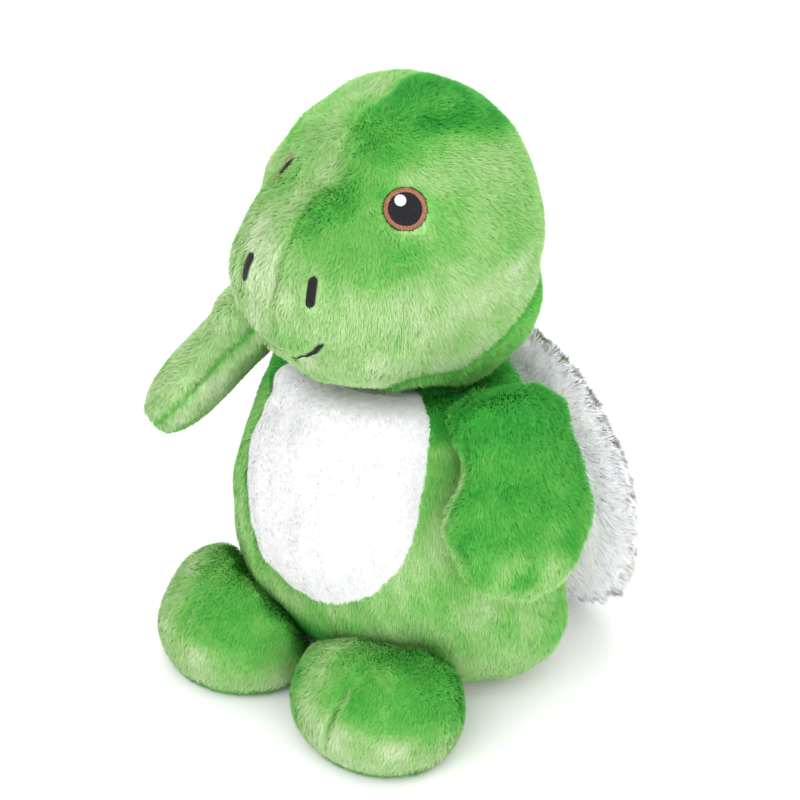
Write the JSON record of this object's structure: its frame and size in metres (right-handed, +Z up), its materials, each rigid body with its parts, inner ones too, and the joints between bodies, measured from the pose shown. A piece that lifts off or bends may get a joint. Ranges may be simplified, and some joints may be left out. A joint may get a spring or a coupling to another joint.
{
  "type": "stuffed toy",
  "caption": "Sitting plush animal with a domed head, broad snout, flat arms, round feet, white belly and a padded shell on its back.",
  "frame": {"origin": "middle of the flat seat that the toy sits on", "axes": "+Z up, the toy faces -Y, its own left side is +X"},
  "size_m": [0.257, 0.2162, 0.309],
  "materials": {
    "green_plush": "short pile plush",
    "white_plush": "short pile plush",
    "shell_plush": "long pile plush",
    "black_thread": "satin stitch",
    "brown_thread": "satin stitch",
    "white_thread": "satin stitch",
    "green_thread": "matte thread",
    "stuffing": "loose fibre",
    "pellet_bag": "woven mesh"
  },
  "bodies": {
    "torso": {"torso_side_left": "green_plush", "torso_side_right": "green_plush", "belly_patch": "white_plush", "seat_base": "green_plush", "torso_stuffing": "stuffing", "bean_bag": "pellet_bag"},
    "neck": {"neck_seam": "green_plush"},
    "collar": {"neck_thread": "green_thread"},
    "head": {"head_side_left": "green_plush", "head_side_right": "green_plush", "head_underside": "green_plush", "head_stuffing": "stuffing", "eye_ring_left": "brown_thread", "eye_ring_right": "brown_thread", "eye_pupil_left": "black_thread", "eye_pupil_right": "black_thread", "eye_glint_left": "white_thread", "eye_glint_right": "white_thread", "nostril_left": "black_thread", "nostril_right": "black_thread", "smile_left": "black_thread", "smile_right": "black_thread"},
    "shoulder_left": {"shoulder_wad_left": "stuffing"},
    "arm_left": {"arm_outer_left": "green_plush", "arm_inner_left": "green_plush", "arm_stuffing_left": "stuffing"},
    "shoulder_right": {"shoulder_wad_right": "stuffing"},
    "arm_right": {"arm_outer_right": "green_plush", "arm_inner_right": "green_plush", "arm_stuffing_right": "stuffing"},
    "foot_left": {"foot_top_left": "green_plush", "foot_sole_left": "green_plush", "foot_stuffing_left": "stuffing"},
    "foot_right": {"foot_top_right": "green_plush", "foot_sole_right": "green_plush", "foot_stuffing_right": "stuffing"},
    "shell": {"shell_front": "white_plush", "shell_back": "shell_plush", "shell_padding": "stuffing"}
  },
  "joints": [
    {"name": "neck_turn", "type": "hinge", "parent": "torso", "child": "neck", "pos_m": [0, 0, 0.166], "axis": [0, 0, 1], "range_deg": [-30, 30], "stiffness_Nm_per_rad": 0.25},
    {"name": "neck_tilt", "type": "hinge", "parent": "neck", "child": "collar", "pos_m": [0, 0, 0.166], "axis": [0, 1, 0], "range_deg": [-8, 8], "stiffness_Nm_per_rad": 1.2},
    {"name": "neck_nod", "type": "hinge", "parent": "collar", "child": "head", "pos_m": [0, 0, 0.166], "axis": [1, 0, 0], "range_deg": [-10, 10], "stiffness_Nm_per_rad": 1.2},
    {"name": "left_arm_swing", "type": "hinge", "parent": "torso", "child": "shoulder_left", "pos_m": [0.08129, -0.02485, 0.163], "axis": [0.9563, -0.2924, 0], "range_deg": [-25, 25], "stiffness_Nm_per_rad": 0.06},
    {"name": "left_arm_raise", "type": "hinge", "parent": "shoulder_left", "child": "arm_left", "pos_m": [0.08129, -0.02485, 0.163], "axis": [-0.2924, -0.9563, 0], "range_deg": [0, 50], "stiffness_Nm_per_rad": 0.06},
    {"name": "right_arm_swing", "type": "hinge", "parent": "torso", "child": "shoulder_right", "pos_m": [-0.08129, -0.02485, 0.163], "axis": [-0.9563, -0.2924, 0], "range_deg": [-25, 25], "stiffness_Nm_per_rad": 0.06},
    {"name": "right_arm_raise", "type": "hinge", "parent": "shoulder_right", "child": "arm_right", "pos_m": [-0.08129, -0.02485, 0.163], "axis": [-0.2924, 0.9563, 0], "range_deg": [-18, 32], "stiffness_Nm_per_rad": 0.06},
    {"name": "left_foot_lift", "type": "hinge", "parent": "torso", "child": "foot_left", "pos_m": [0.048, -0.052, 0.064], "axis": [-1, 0, 0], "range_deg": [0, 20], "stiffness_Nm_per_rad": 0.1},
    {"name": "right_foot_lift", "type": "hinge", "parent": "torso", "child": "foot_right", "pos_m": [-0.048, -0.052, 0.064], "axis": [-1, 0, 0], "range_deg": [0, 20], "stiffness_Nm_per_rad": 0.1},
    {"name": "shell_flap", "type": "hinge", "parent": "torso", "child": "shell", "pos_m": [0, 0.062, 0.16], "axis": [1, 0, 0], "range_deg": [0, 15], "stiffness_Nm_per_rad": 0.4}
  ]
}
